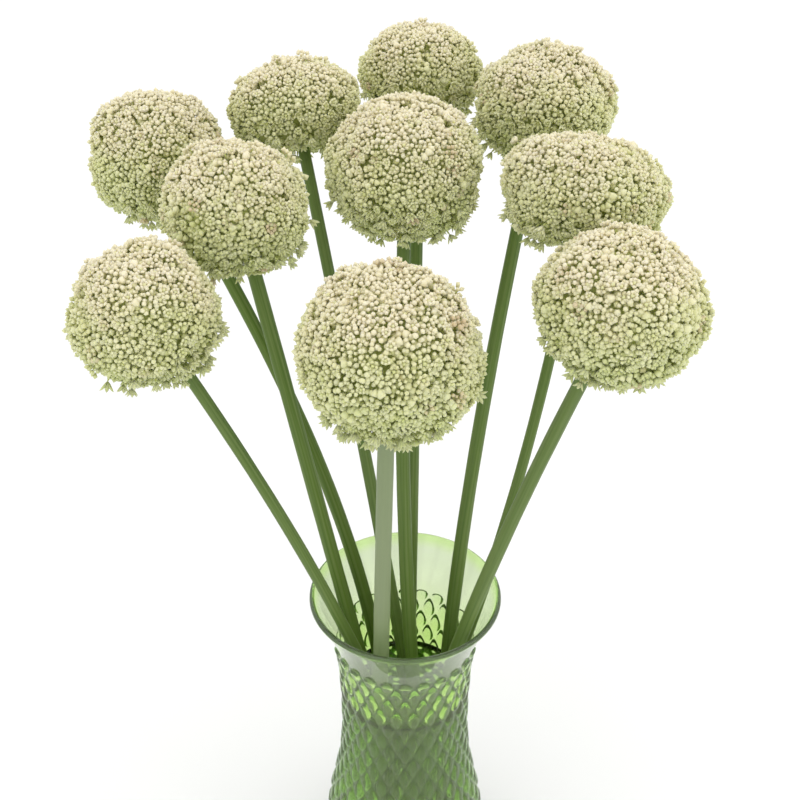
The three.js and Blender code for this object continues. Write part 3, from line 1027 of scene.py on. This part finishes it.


# %% [markdown]
# ### Floret finish
# The tepals are cream. Their tones are laid by each point's height in the room as painted light: a
# breath of pink and lighter colour on the tops, as if lit from above, and a greener, darker tone below
# as painted shade. The colour deepens to olive towards the stalks, and that olive is also painted
# lighter on top. All of it follows the stored values, so each floret has its own tint.
# A thin petal lets some light through, which the shader's subsurface share stands for.

# %% Floret material
floret_finish, floret_shader = new_material(
    "cream_florets",
    Roughness=0.8,
    Specular_IOR_Level=0.15,
    Subsurface_Weight=0.2,
    Subsurface_Radius=(1.0, 0.9, 0.5),
    Subsurface_Scale=0.003,
    Sheen_Weight=0.4,
    Sheen_Roughness=0.4,
    Sheen_Tint=(1.0, 0.96, 0.84, 1),
)
outwards = stored(floret_finish, "outwards").outputs["Fac"]
painted_light_height = stored(floret_finish, "painted_light_height").outputs["Fac"]
green_share = stored(floret_finish, "green").outputs["Fac"]
tint_share = stored(floret_finish, "tint").outputs["Fac"]
# Painted light: by height in the room the tepals go from a darker lime below, as painted shade, through cream
# to a lighter pink on top, as painted light.
cream = mix_colour(floret_finish, tint_share, (0.705, 0.69, 0.385, 1), (0.785, 0.765, 0.485, 1))
painted_light_blush = mix_colour(floret_finish, tint_share, (0.81, 0.735, 0.515, 1), (0.86, 0.79, 0.585, 1))
painted_shade_lime = mix_colour(floret_finish, tint_share, (0.585, 0.635, 0.30, 1), (0.675, 0.705, 0.40, 1))
patches = noise(floret_finish, 45.0)
# Height in the room plus random patches: this lays the painted light and the painted shade.
high = add_node(floret_finish, "ShaderNodeMath", {0: painted_light_height, 1: patches}, operation="ADD").outputs[0]
petal = mix_colour(floret_finish, spread(floret_finish, high, -0.1, 0.9), painted_shade_lime, cream)
petal = mix_colour(floret_finish, spread(floret_finish, high, 0.7, 1.2), petal, painted_light_blush)
faded = spread(floret_finish, tint_share, 0.965, 1.0)
petal = mix_colour(floret_finish, faded, petal, (0.62, 0.50, 0.32, 1))
paper = spread(floret_finish, green_share, -0.5, -1.0)
petal = mix_colour(floret_finish, paper, petal, (0.80, 0.76, 0.62, 1))
# The olive towards the stalks is also painted lighter on top and darker below by the same height.
olive = mix_colour(
    floret_finish, spread(floret_finish, high, 0.3, 1.3), (0.60, 0.64, 0.26, 1), (0.78, 0.73, 0.43, 1)
)
deep = mix_colour(floret_finish, spread(floret_finish, outwards, 0.2, 0.8), olive, petal)
stalk_green = spread(floret_finish, green_share, 0.1, 0.9)
floret_colour = mix_colour(floret_finish, stalk_green, deep, (0.54, 0.59, 0.20, 1))
floret_finish.node_tree.links.new(floret_colour, floret_shader.inputs["Base Color"])
add_bump(floret_finish, floret_shader, noise(floret_finish, 900.0), 0.3, 0.0002)

# %% Place the heads on their stems
for index, flower in enumerate(FLOWERS):
    points, faces, values = head_surface(flower, 100 + index)
    _, along = stem_points(flower, [1.0])
    turn = turns_towards(along, np.zeros(1))[0]
    turned = points @ turn.T
    # Each point's height in the room: it lays painted light on the tops of the heads and painted shade under
    # them.
    values["painted_light_height"] = turned[:, 2] / flower["radius"]
    points = (turned + np.array(flower["head"])) * MM
    head = new_piece(f"allium_head_{index + 1:02d}", points, faces, values)
    dress(head, f"flower_head_{index + 1:02d}", floret_finish)

# %% [markdown]
# ## Floor
# A plain pale floor carries the vase's soft shadow and sends light up into the heads.

# %% Floor
FLOOR_HALF = 6.0

floor_finish, floor_shader = new_material("pale_floor", Roughness=0.8, Specular_IOR_Level=0.1)
floor_tone = mix_colour(
    floor_finish, noise(floor_finish, 3.0), (0.90, 0.90, 0.895, 1), (0.92, 0.92, 0.915, 1)
)
floor_finish.node_tree.links.new(floor_tone, floor_shader.inputs["Base Color"])
floor_points = np.array([[-1, -1, 0], [1, -1, 0], [1, 1, 0], [-1, 1, 0]]) * FLOOR_HALF
floor = new_piece("floor", floor_points, np.array([[0, 1, 2], [0, 2, 3]]))
floor.data.materials.append(floor_finish)

# %% Render settings that the glass needs
scene.cycles.max_bounces = 18
scene.cycles.transmission_bounces = 16
scene.cycles.diffuse_bounces = 8
scene.cycles.glossy_bounces = 6
